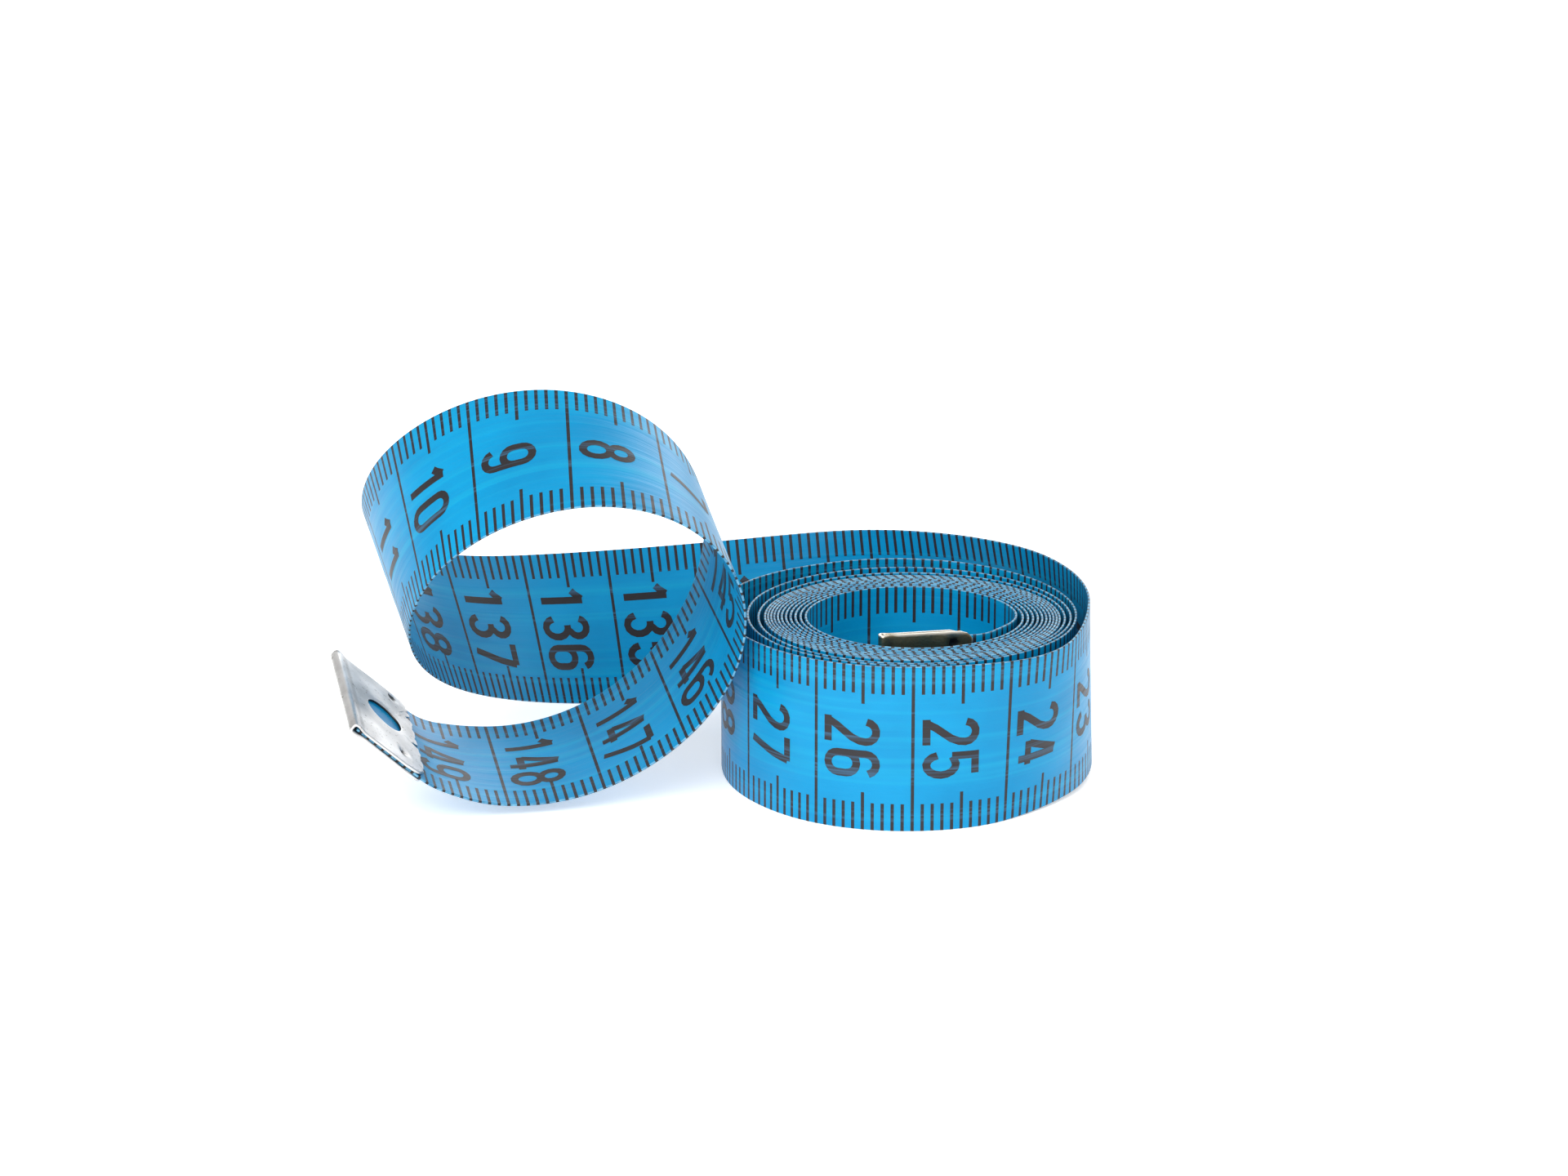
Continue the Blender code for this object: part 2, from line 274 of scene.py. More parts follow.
def put_mesh(name, corners, faces, materials, which, smooth=None):
    """A mesh object from arrays: corner points, a list of face arrays, and the material and
    the smoothness of every face."""
    mesh = bpy.data.meshes.new(name)
    mesh.from_pydata(corners.reshape(-1, 3), [], [f for group in faces for f in group.tolist()])
    for material in materials:
        mesh.materials.append(material)
    mesh.polygons.foreach_set("material_index", np.asarray(which, dtype=np.int32))
    kept = np.ones(len(mesh.polygons), dtype=bool) if smooth is None else smooth
    mesh.polygons.foreach_set("use_smooth", kept)
    mesh.update()
    obj = bpy.data.objects.new(name, mesh)
    bpy.context.scene.collection.objects.link(obj)
    return obj


def put_scale_map(obj, along, across):
    """UV map of the printed scale: distance along and across, in metres, at each corner."""
    mesh = obj.data
    corner = np.zeros(len(mesh.loops), dtype=np.int32)
    mesh.loops.foreach_get("vertex_index", corner)
    uv = np.stack([np.ravel(along)[corner], np.ravel(across)[corner]], -1)
    mesh.uv_layers.new(name="scale").data.foreach_set("uv", uv.ravel().astype(np.float32))


def strip(name, first, last, materials):
    """The ribbon between two distances: its section carried along the route, with rows of
    faces as wide as a printed line at every millimetre, closed at both ends.  The lines
    run over the slit edges.  The shading follows the section, so that one length runs on
    into the next."""
    start, stop = first * 1000 + TICK_CLEAR, last * 1000 - TICK_CLEAR
    marks = np.arange(math.ceil(start), stop) / 1000
    lines = (marks[:, None] + np.array([-0.5, 0.5]) * TICK_WIDE).ravel()
    rows = np.concatenate([[first], lines, [last]])
    along, across = np.meshgrid(rows, SECTION_ACROSS, indexing="ij")
    corners = on_ribbon(along, across, np.broadcast_to(SECTION_OUT, along.shape))
    n, m = along.shape
    i, j = np.meshgrid(np.arange(n - 1), np.arange(m), indexing="ij")
    k = (j + 1) % m
    walls = grid_faces(i, j, i + 1, k, m)
    ends = [np.arange(m)[None], (n - 1) * m + np.arange(m)[None, ::-1]]

    middle = (rows[1:] + rows[:-1])[i] / 2 * 1000
    millimetre = np.round(middle).astype(int)
    printed = np.abs(middle - millimetre) < 0.01
    reach = np.where(millimetre % 5 == 0, TICK_HALF, TICK_SHORT)
    reach = np.where(millimetre % 10 == 0, TAPE_WIDTH, reach)
    place = (SECTION_ACROSS[j] + SECTION_ACROSS[k]) / 2
    flat = np.abs(SECTION_OUT[j] + SECTION_OUT[k]) > 1.99 * HALF_THICK
    inked = printed & (np.minimum(place, TAPE_WIDTH - place) < reach)
    kind = np.where(inked, 1, np.where(flat, 0, 2)).ravel()
    smooth = np.append(np.ones(len(walls), dtype=bool), [False, False])
    obj = put_mesh(name, corners, [walls, *ends], materials, np.append(kind, [2, 2]), smooth)
    frames = ribbon_at(rows)[1]
    way = np.einsum("rxk,kc->rcx", frames[:, :, 1:], SECTION_WAY).reshape(-1, 3)
    obj.data.normals_split_custom_set_from_vertices(way / np.linalg.norm(way, axis=1)[:, None])
    put_scale_map(obj, along, across)
    return obj


def new_material(name, colour, rough):
    """A material with one Principled shader, and its nodes, links and shader."""
    material = bpy.data.materials.new(name)
    material.use_nodes = True
    material.diffuse_color = (*colour, 1.0)
    nodes, links = material.node_tree.nodes, material.node_tree.links
    shader = nodes["Principled BSDF"]
    shader.inputs["Base Color"].default_value = (*colour, 1.0)
    shader.inputs["Roughness"].default_value = rough
    return material, nodes, links, shader


def pattern(nodes, links, source, scale, detail=2.0, stretch=(1.0, 1.0, 1.0)):
    """A noise between 0 and 1 over a coordinate, stretched along its axes."""
    mapping = nodes.new("ShaderNodeMapping")
    mapping.inputs["Scale"].default_value = stretch
    links.new(source, mapping.inputs["Vector"])
    noise = nodes.new("ShaderNodeTexNoise")
    noise.inputs["Scale"].default_value = scale
    noise.inputs["Detail"].default_value = detail
    links.new(mapping.outputs["Vector"], noise.inputs["Vector"])
    return noise.outputs["Fac"]


def ramp(nodes, links, value, low, high, start=0.0, end=1.0):
    """A value carried from the range low..high to start..end, and held there."""
    node = nodes.new("ShaderNodeMapRange")
    node.inputs["From Min"].default_value = low
    node.inputs["From Max"].default_value = high
    node.inputs["To Min"].default_value = start
    node.inputs["To Max"].default_value = end
    links.new(value, node.inputs["Value"])
    return node.outputs["Result"]


def mixed(nodes, links, factor, one, other):
    """One colour turning into another as the factor goes from 0 to 1."""
    node = nodes.new("ShaderNodeMix")
    node.data_type = "RGBA"
    links.new(factor, node.inputs["Factor"])
    for name, colour in (("A", one), ("B", other)):
        socket = [s for s in node.inputs if s.name == name and s.type == "RGBA"][0]
        if isinstance(colour, tuple):
            socket.default_value = (*colour, 1.0)
        else:
            links.new(colour, socket)
    return [s for s in node.outputs if s.type == "RGBA"][0]


def added(nodes, links, one, other, weight=1.0):
    """Two values added, the second one weighted first."""
    scaled = nodes.new("ShaderNodeMath")
    scaled.operation = "MULTIPLY"
    scaled.inputs[1].default_value = weight
    links.new(other, scaled.inputs[0])
    node = nodes.new("ShaderNodeMath")
    node.operation = "ADD"
    links.new(one, node.inputs[0])
    links.new(scaled.outputs[0], node.inputs[1])
    return node.outputs[0]


BLUE = (0.0, 0.285, 0.560)
BLUE_DEEP = (0.0, 0.230, 0.475)
# Paler blue for the painted sheen on the highest ribs.
RIB_SHEEN_BLUE = (0.005, 0.360, 0.570)
INK = (0.016, 0.014, 0.017)
INK_THIN = (0.030, 0.085, 0.150)
EDGE_DARK = (0.02, 0.18, 0.34)
EDGE_PALE = (0.15, 0.40, 0.58)
RIB_DEPTH = 0.000030
FINE_WEIGHT = 0.45           # height of the fine ribs over the wide ones
BAND_WEIGHT = 1.6            # height of the bands of yarns over the single yarns


def scale_place(nodes):
    """A place on the printed scale: metres along and across."""
    scale = nodes.new("ShaderNodeUVMap")
    scale.uv_map = "scale"
    return scale.outputs["UV"]


def yarn_ribs(nodes, links):
    """Height of the yarns under the coating: noise drawn out along the ribbon, in bands of
    yarns and single yarns, and again finer."""
    place = scale_place(nodes)
    band = pattern(nodes, links, place, 1.0, 0.0, (9.0, 900.0, 1.0))
    wide = pattern(nodes, links, place, 1.0, 1.0, (22.0, 1900.0, 1.0))
    fine = pattern(nodes, links, place, 1.0, 1.0, (60.0, 4200.0, 1.0))
    return place, added(nodes, links, wide, band, BAND_WEIGHT), fine


def bumped(nodes, links, shader, height, distance):
    """The shader's surface raised by a height between 0 and 1 times a distance."""
    bump = nodes.new("ShaderNodeBump")
    bump.inputs["Distance"].default_value = distance
    bump.inputs["Strength"].default_value = 1.0
    links.new(height, bump.inputs["Height"])
    links.new(bump.outputs["Normal"], shader.inputs["Normal"])


def ribbed(nodes, links, shader, wide, fine, rough, gloss):
    """Ribs raised on a shader, the finer ones also making it smoother and rougher."""
    links.new(ramp(nodes, links, fine, 0.3, 0.7, *rough), shader.inputs["Roughness"])
    bumped(nodes, links, shader, added(nodes, links, wide, fine, FINE_WEIGHT), RIB_DEPTH)
    shader.inputs["Specular IOR Level"].default_value = gloss


def make_vinyl():
    """Soft blue coating: ribbed lengthwise by its yarns, satin, a little clouded.  A painted
    sheen makes its highest ribs paler.
    """
    material, nodes, links, shader = new_material("blue_vinyl", BLUE, 0.34)
    uv, wide, fine = yarn_ribs(nodes, links)
    cloud = pattern(nodes, links, uv, 1.0, 3.0, (90.0, 140.0, 1.0))
    tone = mixed(nodes, links, ramp(nodes, links, cloud, 0.35, 0.70), BLUE_DEEP, BLUE)
    # Painted sheen: the highest ribs and bands are mixed towards a paler blue.
    lit = mixed(nodes, links, ramp(nodes, links, wide, 1.30, 1.80, 0.0, 0.45), tone, RIB_SHEEN_BLUE)
    links.new(lit, shader.inputs["Base Color"])
    ribbed(nodes, links, shader, wide, fine, (0.30, 0.42), 0.24)
    return material


def make_ink():
    """Black printing ink over the ribs, worn thinner on their highest crests."""
    material, nodes, links, shader = new_material("scale_ink", INK, 0.42)
    _, wide, fine = yarn_ribs(nodes, links)
    thin = ramp(nodes, links, added(nodes, links, wide, fine), 1.95, 2.30)
    links.new(mixed(nodes, links, thin, INK, INK_THIN), shader.inputs["Base Color"])
    ribbed(nodes, links, shader, wide, fine, (0.36, 0.52), 0.40)
    return material


def make_slit_edge():
    """Slit edge of the ribbon: uneven along its length, from darker than the faces to paler."""
    material, nodes, links, shader = new_material("slit_edge", (0.08, 0.33, 0.56), 0.55)
    drawn = pattern(nodes, links, scale_place(nodes), 1.0, 3.0, (900.0, 9000.0, 1.0))
    tone = mixed(nodes, links, ramp(nodes, links, drawn, 0.35, 0.65), EDGE_DARK, EDGE_PALE)
    links.new(tone, shader.inputs["Base Color"])
    bumped(nodes, links, shader, drawn, 0.00002)
    return material


vinyl, ink, slit_edge = make_vinyl(), make_ink(), make_slit_edge()
RIBBON_LOOK = (vinyl, ink, slit_edge)

# Lengths of the ribbon: (name, from, to, the frame's node it stands for, body or bodies).
# A bend lies between the two bodies that flex against each other there; it is fixed where
# it lies and attached to neither.
TAIL_BEND = (ROLL_END - 0.0020, ROLL_END + 0.0095)
TAIL_STOP = TAPE_END - 0.0006    # inside the tip's fold
LENGTHS = (
    ("ribbon_end", 0.0015, 0.0145, "tape_end", ("free_end",)),
    ("ribbon_end_bend", 0.0145, 0.0275, None, ("free_end", "low_run")),
    ("ribbon_low_run", 0.0275, 0.0385, "tape_low_run", ("low_run",)),
    ("ribbon_foot_bend", 0.0385, 0.0545, None, ("low_run", "loop_top")),
    ("ribbon_loop_top", 0.0545, 0.1005, "tape_loop_top", ("loop_top",)),
    ("ribbon_left_bend", 0.1005, 0.1195, None, ("loop_top", "back_run")),
    ("ribbon_back_run", 0.1195, 0.1425, "tape_back_run", ("back_run",)),
    ("ribbon_back_bend", 0.1425, 0.1615, None, ("back_run", "roll")),
    ("ribbon_outer_turn", 0.1615, 0.3655, "tape_roll", ("roll",)),
    ("ribbon_wound_turns", 0.3655, TAIL_BEND[0], "tape_roll", ("roll",)),
    ("ribbon_tail_bend", *TAIL_BEND, None, ("roll", "inner_end")),
    ("ribbon_tail", TAIL_BEND[1], TAIL_STOP, "tape_inner_tail", ("inner_end",)),
)


def follow_bodies(obj, bodies):
    """Ride on the one body; a length between two bodies is only fixed where it lies."""
    if len(bodies) == 1:
        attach(obj, bodies[0])
        return
    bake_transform(obj)


for name, first, last, node, bodies in LENGTHS:
    piece = strip(name, first, last, RIBBON_LOOK)
    follow_bodies(piece, bodies)
    if node:
        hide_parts(node)


# ---------------------------------------------------------------- figures
# The centimetre figures, printed on both faces in the same ink, one behind
# each centimetre line.  They run down the ribbon, turned a quarter turn, and
# the two faces count from opposite ends.

FIGURE_TALL = 0.0058         # along the ribbon
FIGURE_WIDE = 0.0029         # across it
FIGURE_PITCH = 0.0034
FIGURE_FOOT = 0.00095        # foot of a figure to its centimetre line
FIGURE_LINE = 0.00079        # thickness of its strokes
INK_PROUD = 0.000014         # top of the ink over the ribbon's face
INK_KEEL = -0.000030         # lowest line of a stroke, sunk in the coating
ARC_STEP = 24                # degrees between the points of an arc
STROKE_STEP = 0.0009         # longest straight step of a stroke
MITRE_LEAST = 0.65           # keeps the mitre of a sharp bend short

narrow = FIGURE_WIDE - FIGURE_LINE
tall = FIGURE_TALL - FIGURE_LINE
ROUND = narrow / 2 / tall    # height of a half round, as a share of the figure's height


def arc(x, y, wide, high, start, end):
    """Points on an ellipse between two angles in degrees."""
    a = np.radians(np.linspace(start, end, max(3, round(abs(end - start) / ARC_STEP) + 1)))
    return np.stack([x + wide * np.cos(a), y + high * np.sin(a)], -1)


def path(*parts):
    """Points and arcs one after the other."""
    return np.concatenate([np.atleast_2d(np.array(p, dtype=float)) for p in parts])


# Strokes of each figure as middle lines, (0, 0) at its lower left and (1, 1) at its upper right.
STROKES = {
    "0": [
        path(arc(0.5, 1 - ROUND, 0.5, ROUND, 180, 0), arc(0.5, ROUND, 0.5, ROUND, 0, -180),
             (0, 1 - ROUND)),
    ],
    "1": [path((0.62, 0), (0.62, 1)), path((0.10, 0.76), (0.30, 0.84), (0.56, 0.985))],
    "2": [
        path(arc(0.5, 1 - ROUND, 0.5, ROUND, 175, 0), (0.96, 0.66), (0.80, 0.50), (0.26, 0.19),
             (0.04, 0.02)),
        path((-0.17, 0), (1.1, 0)),
    ],
    "3": [
        path(arc(0.48, 1 - ROUND, 0.48, ROUND, 165, -60), (0.62, 0.55), (0.36, 0.54)),
        path((0.36, 0.54), (0.55, 0.54), arc(0.5, 0.27, 0.5, 0.27, 60, -165)),
    ],
    "4": [
        path((0.78, 0), (0.78, 1)),
        path((0.66, 1.02), (0.02, 0.27)),
        path((-0.1, 0.24), (1.12, 0.24)),
    ],
    "5": [
        path((1.0, 1.0), (0.06, 1.0), (0.06, 0.52)),
        path((0.10, 0.53), arc(0.5, 0.30, 0.5, 0.30, 118, -165)),
    ],
    "6": [
        path(arc(0.5, 0.60 - ROUND, 0.5, ROUND, 180, 0), arc(0.5, ROUND, 0.5, ROUND, 0, -180),
             (0, 0.60 - ROUND)),
        path((0.0, 0.38), (0.0, 0.62), arc(0.5, 1 - ROUND, 0.5, ROUND, 180, 14)),
    ],
    "7": [
        path((-0.15, 1.0), (1.0, 1.0)),
        path((0.97, 1.0), (0.80, 0.58), (0.52, 0.16), (0.38, -0.07)),
    ],
    "8": [
        path(arc(0.5, 0.775, 0.45, 0.225, 90, -270)),
        path(arc(0.5, 0.275, 0.50, 0.275, 90, -270)),
    ],
}
STROKES["9"] = [1 - line for line in STROKES["6"]]


def stroke_rim(line):
    """Left and right rims and the middle line of a stroke, the rims half its thickness to
    each side and mitred at its bends.  The line is first cut to steps short enough to
    follow the ribbon's bend."""
    line = line * np.array([narrow, tall])
    length = np.linalg.norm(np.diff(line, axis=0), axis=1)
    cuts = [np.linspace(0, 1, max(1, math.ceil(d / STROKE_STEP)) + 1)[:-1, None] for d in length]
    steps = [a + (b - a) * c for a, b, c in zip(line, line[1:], cuts)]
    line = np.concatenate([*steps, line[-1:]])
    run = np.diff(line, axis=0)
    run /= np.linalg.norm(run, axis=1, keepdims=True)
    closed = np.linalg.norm(line[0] - line[-1]) < 1e-7
    before = np.concatenate([run[-1:] if closed else run[:1], run])
    after = np.concatenate([run, run[:1] if closed else run[-1:]])
    middle = before + after
    middle /= np.linalg.norm(middle, axis=1, keepdims=True)
    reach = FIGURE_LINE / 2 / np.maximum((middle * before).sum(1), MITRE_LEAST)
    side = np.stack([-middle[:, 1], middle[:, 0]], -1) * reach[:, None]
    return line + side, line - side, line


def stroke_solid(line):
    """A closed stroke: a flat top between its rims and a keel sunk in the coating."""
    left, right, keel = stroke_rim(line)
    n = len(keel)
    level = np.repeat([INK_PROUD, INK_PROUD, INK_KEEL], n)
    i = np.arange(n - 1)
    faces = [grid_faces(a, i, b, i + 1, n) for a, b in ((0, 1), (1, 2), (2, 0))]
    faces.append(np.array([[0, 2 * n, n], [n - 1, 2 * n - 1, 3 * n - 1]]))
    return np.column_stack([np.concatenate([left, right, keel]), level]), faces


FIGURES = {digit: joined(map(stroke_solid, strokes)) for digit, strokes in STROKES.items()}


def label_foot(number, side):
    """Distance along of a number's centimetre line.  Side 1 is the face that looks inwards
    on the roll, and side -1 the face that looks outwards."""
    return (number if side < 0 else SCALE_LENGTH - number) / 100


def label(number, side):
    """One printed number: each figure's own x runs down across the ribbon and its y runs
    along, away from the centimetre line at its foot.  Gives along, across, out and faces."""
    digits = str(number)
    top = TAPE_WIDTH / 2 + (FIGURE_PITCH * (len(digits) - 1) + narrow) / 2
    shapes = []
    for place, digit in enumerate(digits):
        shape, faces = FIGURES[digit]
        along = label_foot(number, side) + side * (FIGURE_FOOT + FIGURE_LINE / 2 + shape[:, 1])
        across = top - FIGURE_PITCH * place - shape[:, 0]
        out = side * (HALF_THICK + shape[:, 2])
        shapes.append((np.column_stack([along, across, out]), faces))
    return joined(shapes)


def lay_labels(name, labels):
    """All labels of one length of ribbon, laid on it as one mesh."""
    flat, faces = joined(label(number, side) for number, side in labels)
    corners = on_ribbon(flat[:, 0], flat[:, 1], flat[:, 2])
    count = sum(len(f) for f in faces)
    obj = put_mesh(name, corners, faces, (ink,), np.zeros(count), np.zeros(count, dtype=bool))
    put_scale_map(obj, flat[:, 0], flat[:, 1])
    return obj


def label_span(number, side):
    """Distances along at which a label starts and ends."""
    foot = label_foot(number, side)
    ends = foot + side * FIGURE_FOOT, foot + side * (FIGURE_FOOT + FIGURE_TALL)
    return min(ends), max(ends)


def belongs(number, side, first, last, is_bend):
    """Whether a label goes with a length: a bend takes every label it touches, any other
    length the ones whose middle is on it, and none goes past the end of the ribbon."""
    low, high = label_span(number, side)
    here = high > first and low < last if is_bend else first <= (low + high) / 2 <= last
    return here and high < TAPE_END


# Bends come first and take the labels that cross their ends, so that none of them splits.
waiting = {(n, side) for n in range(1, SCALE_LENGTH) for side in (-1, 1)}
bends_first = sorted(LENGTHS, key=lambda row: len(row[4]) == 1)
for name, first, last, _, bodies in bends_first:
    here = sorted(x for x in waiting if belongs(*x, first, last, len(bodies) == 2))
    waiting -= set(here)
    if here:
        figures = lay_labels(name.replace("ribbon", "figures"), here)
        follow_bodies(figures, bodies)


# ---------------------------------------------------------------- end tips
# A blank of thin nickel-plated sheet, folded once over the end of the ribbon
# and pressed flat on both faces.  A round hole goes through both leaves, and
# two stakes punched beside it and the cut inner edge bite into the ribbon.

TIP_LENGTH = 0.0098
TIP_START = 0.0008           # distance along of the outside of the fold
TIP_PLATE = 0.00026          # thickness of the sheet
TIP_CLEAR = 0.00010          # gap between the sheet and the ribbon
TIP_OVERHANG = 0.00025       # how far a leaf stands past the ribbon's edges
TIP_HOLE = 0.0046
TIP_HOLE_AT = 0.0056         # outside of the fold to the middle of the hole
TIP_HOLE_UP = 0.0006         # hole above the middle of the ribbon
TIP_BEAD = 0.00012           # how much fuller the fold is than the leaves
LEAF_GAP = HALF_THICK + TIP_CLEAR + TIP_PLATE / 2    # middle of the ribbon to that of a leaf
LEAF_HALF = TAPE_WIDTH / 2 + TIP_OVERHANG
FOLD_HALF = LEAF_GAP * math.pi / 2
LEAF_LONG = TIP_LENGTH - TIP_PLATE / 2 - LEAF_GAP + FOLD_HALF
HOLE_LONG = TIP_HOLE_AT - TIP_PLATE / 2 - LEAF_GAP + FOLD_HALF

# The first leaf's cut inner edge and dents; the second leaf's are the same upside down.
CORNERS = (0.0024, 0.0015)   # rounding below and above
NOTCHES = (                  # (place across, depth, half width)
    (0.0049, 0.0009, 0.00033), (-0.0016, 0.0009, 0.00036), (0.0065, 0.0004, 0.0003),
)
STAKES = ((0.0078, 0.0076), (0.0072, -0.0063))    # (from the fold, place across)
STAKE_DEEP, STAKE_SIZE = 0.00036, (0.00060, 0.00080)
LIP_HIGH, LIP_SIZE = 0.00010, (0.0010, 0.0013)
RIM_DEEP, RIM_WIDE = 0.00005, 0.0004              # pressed rim of the hole
BORDER_DEEP, BORDER_WIDE = 0.00006, 0.0005        # pressed long borders
BEAD_WIDE = 0.0007
RIPPLE = 0.000018            # unevenness of the sheet
FLAT_FROM = 0.001            # from the fold, where the flat leaf's unevenness is full
SHADE_AT, SHADE_WIDE = 0.0012, 0.0006             # painted shade: a dark band beside the fold


def dent(p, q, at, size):
    """A soft round bump, 1 at its middle and falling off over its size."""
    return np.exp(-(((p - at[0]) / size[0]) ** 2) - ((q - at[1]) / size[1]) ** 2)


def leaf_edge(q, leaf):
    """How far the cut inner edge stands back, across the leaf: round corners, bitten
    notches and a slightly wavy cut."""
    corner = np.where(q * leaf < 0, *CORNERS)
    past = np.clip(np.abs(q) - (LEAF_HALF - corner), 0.0, corner)
    back = corner - np.sqrt(corner**2 - past**2)
    for at, deep, wide in NOTCHES:
        back = back + deep * np.exp(-(((q - leaf * at) / wide) ** 4))
    return back + 0.00010 * np.sin(q * 2600 + leaf) + 0.00006 * np.sin(q * 6100)


LEAF_ACROSS, LEAF_ALONG = 92, 58      # faces along the outline's four sides
LEAF_ROWS, LEAF_BACK = 34, 8          # rows over the leaf's outer and inner surface
EASED = np.radians([45.0, 0.0, -45.0])    # the ways a cut edge faces, round its bulge
EDGE_EASE = 0.00005          # how far a cut edge bulges past the flat surfaces


def leaf_outline(leaf):
    """Outline of one flat leaf, all round, with the way out at each point.  The first
    number is the distance from the fold, the second the place across."""
    q = np.linspace(-LEAF_HALF, LEAF_HALF, LEAF_ACROSS + 1)[:-1]
    p = np.linspace(0.0, 1.0, LEAF_ALONG + 1)[:-1]
    ends = LEAF_LONG - leaf_edge(np.array([-LEAF_HALF, LEAF_HALF]), leaf)
    far = np.stack([LEAF_LONG - leaf_edge(q, leaf), q], -1)
    top = np.stack([ends[1] * (1 - p), 0 * p + LEAF_HALF], -1)
    fold = np.stack([0 * q, -q], -1)
    low = np.stack([ends[0] * p, 0 * p - LEAF_HALF], -1)
    out = [np.tile(way, (len(side), 1)) for way, side in
           (((1, 0), far), ((0, 1), top), ((0, 1), fold), ((0, -1), low))]
    return np.concatenate([far, top, fold, low]), np.concatenate(out)


def leaf_rows(leaf):
    """The leaf's skin as closed rings (from fold, across, out of the middle): rays over the
    outer surface from the hole to the outline, round the cut edge, back over the inner
    surface, and through the hole."""
    outline, way = leaf_outline(leaf)
    middle = np.array([HOLE_LONG, TIP_HOLE_UP])
    ray = outline - middle
    ray[:LEAF_ACROSS, 0] = LEAF_LONG - middle[0]    # as if the edge had no notches
    ray_way = ray / np.linalg.norm(ray, axis=1, keepdims=True)
    rim = middle + ray_way * TIP_HOLE / 2
    rows = []
    for v in np.linspace(0, 1, LEAF_ROWS):
        rows.append((rim + (outline - rim) * v, TIP_PLATE / 2))
    for a in EASED:
        rows.append((outline + way * EDGE_EASE * math.cos(a), TIP_PLATE / 2 * math.sin(a)))
    for v in np.linspace(1, 0, LEAF_BACK):
        rows.append((rim + (outline - rim) * v, -TIP_PLATE / 2))
    for a in EASED[::-1]:
        rows.append((rim - ray_way * EDGE_EASE * math.cos(a), TIP_PLATE / 2 * math.sin(a)))
    flat = np.array([row for row, _ in rows])
    out = np.array([level for _, level in rows])[:, None] + np.zeros(len(outline))
    return flat[..., 0], flat[..., 1], out


def tip_surface(leaf):
    """A leaf bent into shape: a half round at the fold, then flat, with the fold's bead,
    the stakes, the hole's pressed rim and the sheet's own unevenness added outwards.
    Also gives the plating's wear and shade: 1 where it is rubbed towards the outline, and
    less than 0 for painted shade beside the fold and in the stakes, and for a painted
    shadow on the wall of the hole."""
    p, q, out = leaf_rows(leaf)
    angle = np.clip(p / LEAF_GAP, 0.0, math.pi / 2)
    run = np.maximum(p - FOLD_HALF, 0.0)
    start = TIP_PLATE / 2 + LEAF_GAP
    flat = np.minimum(run / FLAT_FROM, 1.0)
    lift = TIP_BEAD * np.exp(-((run / BEAD_WIDE) ** 2)) * np.minimum(angle, 1.0)
    stakes = [(at, leaf * across) for at, across in STAKES]
    pressed = sum(dent(p, q, stake, STAKE_SIZE) for stake in stakes)
    lips = sum(dent(p, q, stake, LIP_SIZE) for stake in stakes)
    hole = np.hypot(p - HOLE_LONG, q - TIP_HOLE_UP) - TIP_HOLE / 2
    rim = RIM_DEEP * np.exp(-((hole / RIM_WIDE) ** 2))
    lift += LIP_HIGH * lips - STAKE_DEEP * pressed - rim
    ripple = np.sin(q * 900 + 1) * np.sin(p * 1100) + np.sin(q * 420 + p * 700)
    lift += RIPPLE * ripple * flat
    edge = LEAF_HALF - np.abs(q)
    lift -= BORDER_DEEP * np.exp(-np.maximum(edge, 0) / BORDER_WIDE) * flat
    reach = LEAF_GAP + out + lift
    x = start - reach * np.cos(angle) + run
    z = leaf * reach * np.sin(angle)
    wear_and_shade = np.exp(-np.minimum(edge, LEAF_LONG - p) / 0.00025) + np.exp(-np.abs(hole) / 0.0002)
    # Painted shade in a band beside the fold.
    shade = np.exp(-(((p - SHADE_AT) / SHADE_WIDE) ** 2))
    wear_and_shade = np.clip(wear_and_shade + 0.5 * lips, 0, 1) - 0.5 * shade
    # Painted shadow on the wall of the hole and painted shade in the stakes' pits.
    wall = (hole < 0.00001) & (np.abs(out) < 0.49 * TIP_PLATE)
    wear_and_shade = np.where(wall | ((pressed > 0.42) & (out > 0)), -1.0, wear_and_shade)
    return np.stack([x, q, z], -1), wear_and_shade


def make_tip(name, place, material):
    """Both leaves as closed skins, open to each other along the fold, where they are welded."""
    surfaces = [tip_surface(leaf) for leaf in (1, -1)]
    corners = np.concatenate([s[0].reshape(-1, 3) for s in surfaces])
    wear_and_shade = np.concatenate([s[1].ravel() for s in surfaces])
    rows, m = surfaces[0][1].shape
    i, j = np.meshgrid(np.arange(rows), np.arange(m), indexing="ij")
    at_fold = (j >= LEAF_ACROSS + LEAF_ALONG) & (j < 2 * LEAF_ACROSS + LEAF_ALONG)
    at_rim = (i >= LEAF_ROWS - 1) & (i < LEAF_ROWS + len(EASED))
    i, j = i[~(at_fold & at_rim)], j[~(at_fold & at_rim)]
    n, k = (i + 1) % rows, (j + 1) % m
    quads = grid_faces(i, j, n, k, m)
    other = rows * m + quads[:, ::-1]
    corners = corners @ np.array(place.to_3x3()).T + np.array(place.translation)
    obj = put_mesh(name, corners, [quads, other], (material,), np.zeros(2 * len(quads)))
    obj.data.attributes.new("wear_and_shade", "FLOAT", "POINT").data.foreach_set("value", wear_and_shade)
    obj.modifiers.new("fold", "WELD").merge_threshold = 0.000002
    return obj


PIT = (0.20, 0.18, 0.15)
# Colour of the painted shade in the stakes' pits, on the hole's wall and beside the fold.
RECESS_SHADE = (0.07, 0.065, 0.06)


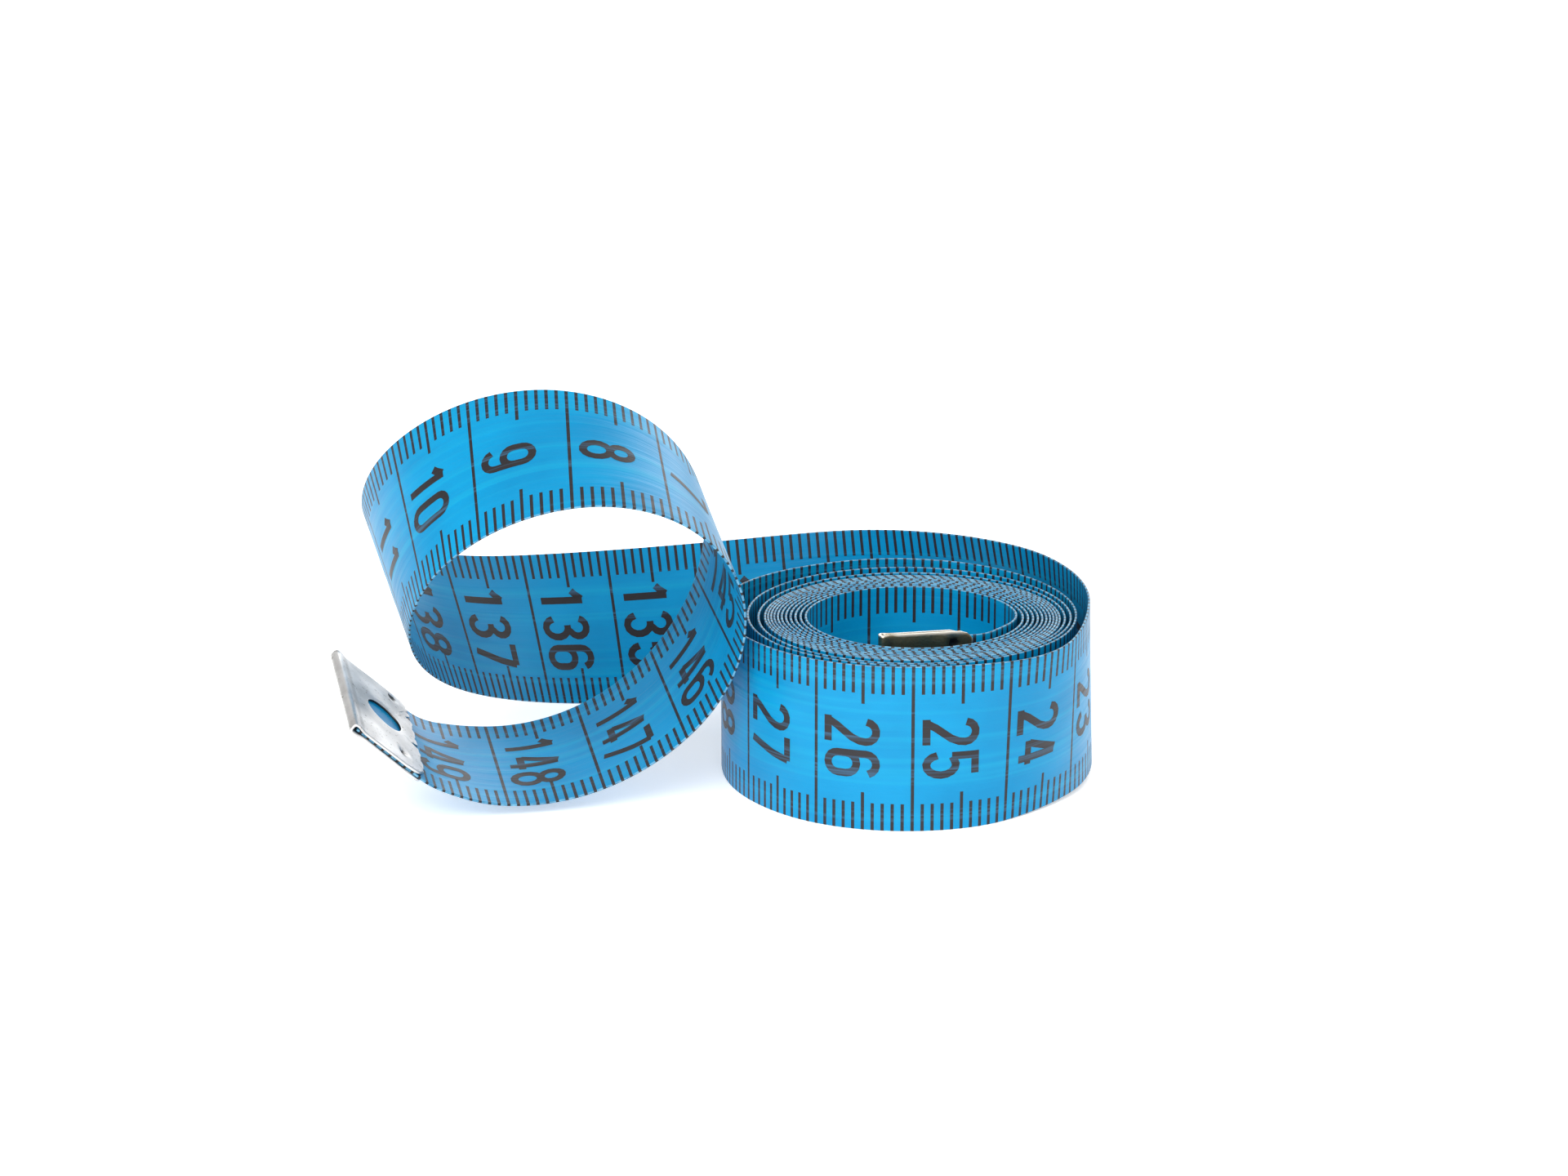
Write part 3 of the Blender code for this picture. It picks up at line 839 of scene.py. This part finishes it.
def make_plating(name, colour, shade, bright, rough):
    """Nickel plate: cloudy, pitted and finely grained, bright where it is rubbed, with
    painted shade in its recesses."""
    material, nodes, links, shader = new_material(name, colour, rough)
    shader.inputs["Metallic"].default_value = 1.0
    place = nodes.new("ShaderNodeTexCoord").outputs["Object"]
    wear_and_shade = nodes.new("ShaderNodeAttribute")
    wear_and_shade.attribute_name = "wear_and_shade"
    cloud = pattern(nodes, links, place, 260.0, 4.0)
    speck = pattern(nodes, links, place, 2600.0, 2.0)
    grain = pattern(nodes, links, place, 5200.0, 3.0)
    base = mixed(nodes, links, ramp(nodes, links, cloud, 0.35, 0.68), colour, shade)
    spotted = mixed(nodes, links, ramp(nodes, links, speck, 0.66, 0.72), base, PIT)
    rubbed = ramp(nodes, links, wear_and_shade.outputs["Fac"], 0.35, 0.9, 0.0, 0.75)
    # Painted shade where the attribute is below 0: pits, the hole's wall and beside the fold.
    dark = ramp(nodes, links, wear_and_shade.outputs["Fac"], -0.3, -0.9)
    metal = mixed(nodes, links, rubbed, spotted, bright)
    links.new(mixed(nodes, links, dark, metal, RECESS_SHADE), shader.inputs["Base Color"])
    dull = ramp(nodes, links, cloud, 0.3, 0.7, rough - 0.06, rough + 0.12)
    links.new(dull, shader.inputs["Roughness"])
    bumped(nodes, links, shader, added(nodes, links, grain, speck, 1.2), 0.000012)
    return material


def tip_place(along, backwards, lift):
    """Where a tip sits: its fold at a distance along, its length running onto the ribbon."""
    points, frames = ribbon_at(np.array([along]))
    turn = np.diag([-1.0, 1.0, -1.0]) if backwards else np.eye(3)
    axes = frames[0] @ turn
    axes[:, 2] = np.cross(axes[:, 0], axes[:, 1])
    place = Matrix([list(row) for row in axes]).to_4x4()
    place.translation = points[0] + np.array([0.0, 0.0, lift])
    return place


nickel = make_plating(
    "nickel_plate", (0.66, 0.65, 0.64), (0.50, 0.49, 0.48), (0.78, 0.77, 0.76), 0.42)
end_tip = make_tip("end_tip_plate", tip_place(TIP_START, False, 0.0), nickel)
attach(end_tip, "free_end")
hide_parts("end_tip")

# The inner tip's plating is darker and browner than the outer tip's.
brown_plating = make_plating(
    "brown_plate", (0.30, 0.25, 0.15), (0.17, 0.13, 0.07), (0.85, 0.82, 0.74), 0.34)
inner_tip = make_tip("inner_tip_plate", tip_place(TAPE_END, True, TIP_OVERHANG), brown_plating)
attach(inner_tip, "inner_end")
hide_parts("inner_end_tip")


# ---------------------------------------------------------------- table and light
# A plain white sheet that curves up behind, under four soft lamps in a white
# room.  It gives off some light of its own, which keeps the shadow on it faint.

FLOOR_REACH = 2.0            # to each side and to the front
CURVE_START = 1.2            # where the sheet starts to rise
CURVE_ROUND = 0.6
FLOOR_TOP = 3.0

curve = np.linspace(0.2, math.pi / 2, 8)
floor_run = np.concatenate([
    np.linspace(-FLOOR_REACH, CURVE_START, 3),
    CURVE_START + CURVE_ROUND * np.sin(curve),
    [CURVE_START + CURVE_ROUND],
])
floor_rise = np.concatenate([np.zeros(3), CURVE_ROUND * (1 - np.cos(curve)), [FLOOR_TOP]])
floor_side = np.linspace(-FLOOR_REACH, FLOOR_REACH, 3)
fx, fy = np.meshgrid(floor_side, floor_run, indexing="ij")
fz = np.broadcast_to(floor_rise, fx.shape)
rows, m = fx.shape
i, j = np.meshgrid(np.arange(rows - 1), np.arange(m - 1), indexing="ij")
quads = grid_faces(i, j, i + 1, j + 1, m)
paper, _, _, paper_shader = new_material("white_paper", (0.90, 0.90, 0.90), 0.7)
paper_shader.inputs["Emission Color"].default_value = (1.0, 1.0, 1.0, 1.0)
paper_shader.inputs["Emission Strength"].default_value = 0.45
table = put_mesh("table", np.stack([fx, fy, fz], -1), [quads], (paper,), np.zeros(len(quads)))


def soft_lamp(name, place, aim, size, power):
    """A square area lamp aimed at a point."""
    light = bpy.data.lights.new(name, "AREA")
    light.shape = "SQUARE"
    light.size = size
    light.energy = power
    obj = bpy.data.objects.new(name, light)
    obj.location = place
    obj.rotation_euler = (Vector(aim) - Vector(place)).to_track_quat("-Z", "Y").to_euler()
    bpy.context.scene.collection.objects.link(obj)


LIT_POINT = (0.0, 0.0, 0.015)
soft_lamp("key", (-0.15, -0.65, 0.85), LIT_POINT, 0.7, 7.5)
soft_lamp("back", (0.18, 0.74, 0.34), LIT_POINT, 0.45, 1.9)
soft_lamp("front", (-0.25, -0.75, 0.35), LIT_POINT, 0.6, 3.0)
soft_lamp("right", (0.70, 0.15, 0.30), LIT_POINT, 0.4, 1.2)

room = bpy.data.worlds.new("room")
room.use_nodes = True
background = room.node_tree.nodes["Background"]
background.inputs["Color"].default_value = (1.0, 1.0, 1.0, 1.0)
background.inputs["Strength"].default_value = 0.42
bpy.context.scene.world = room
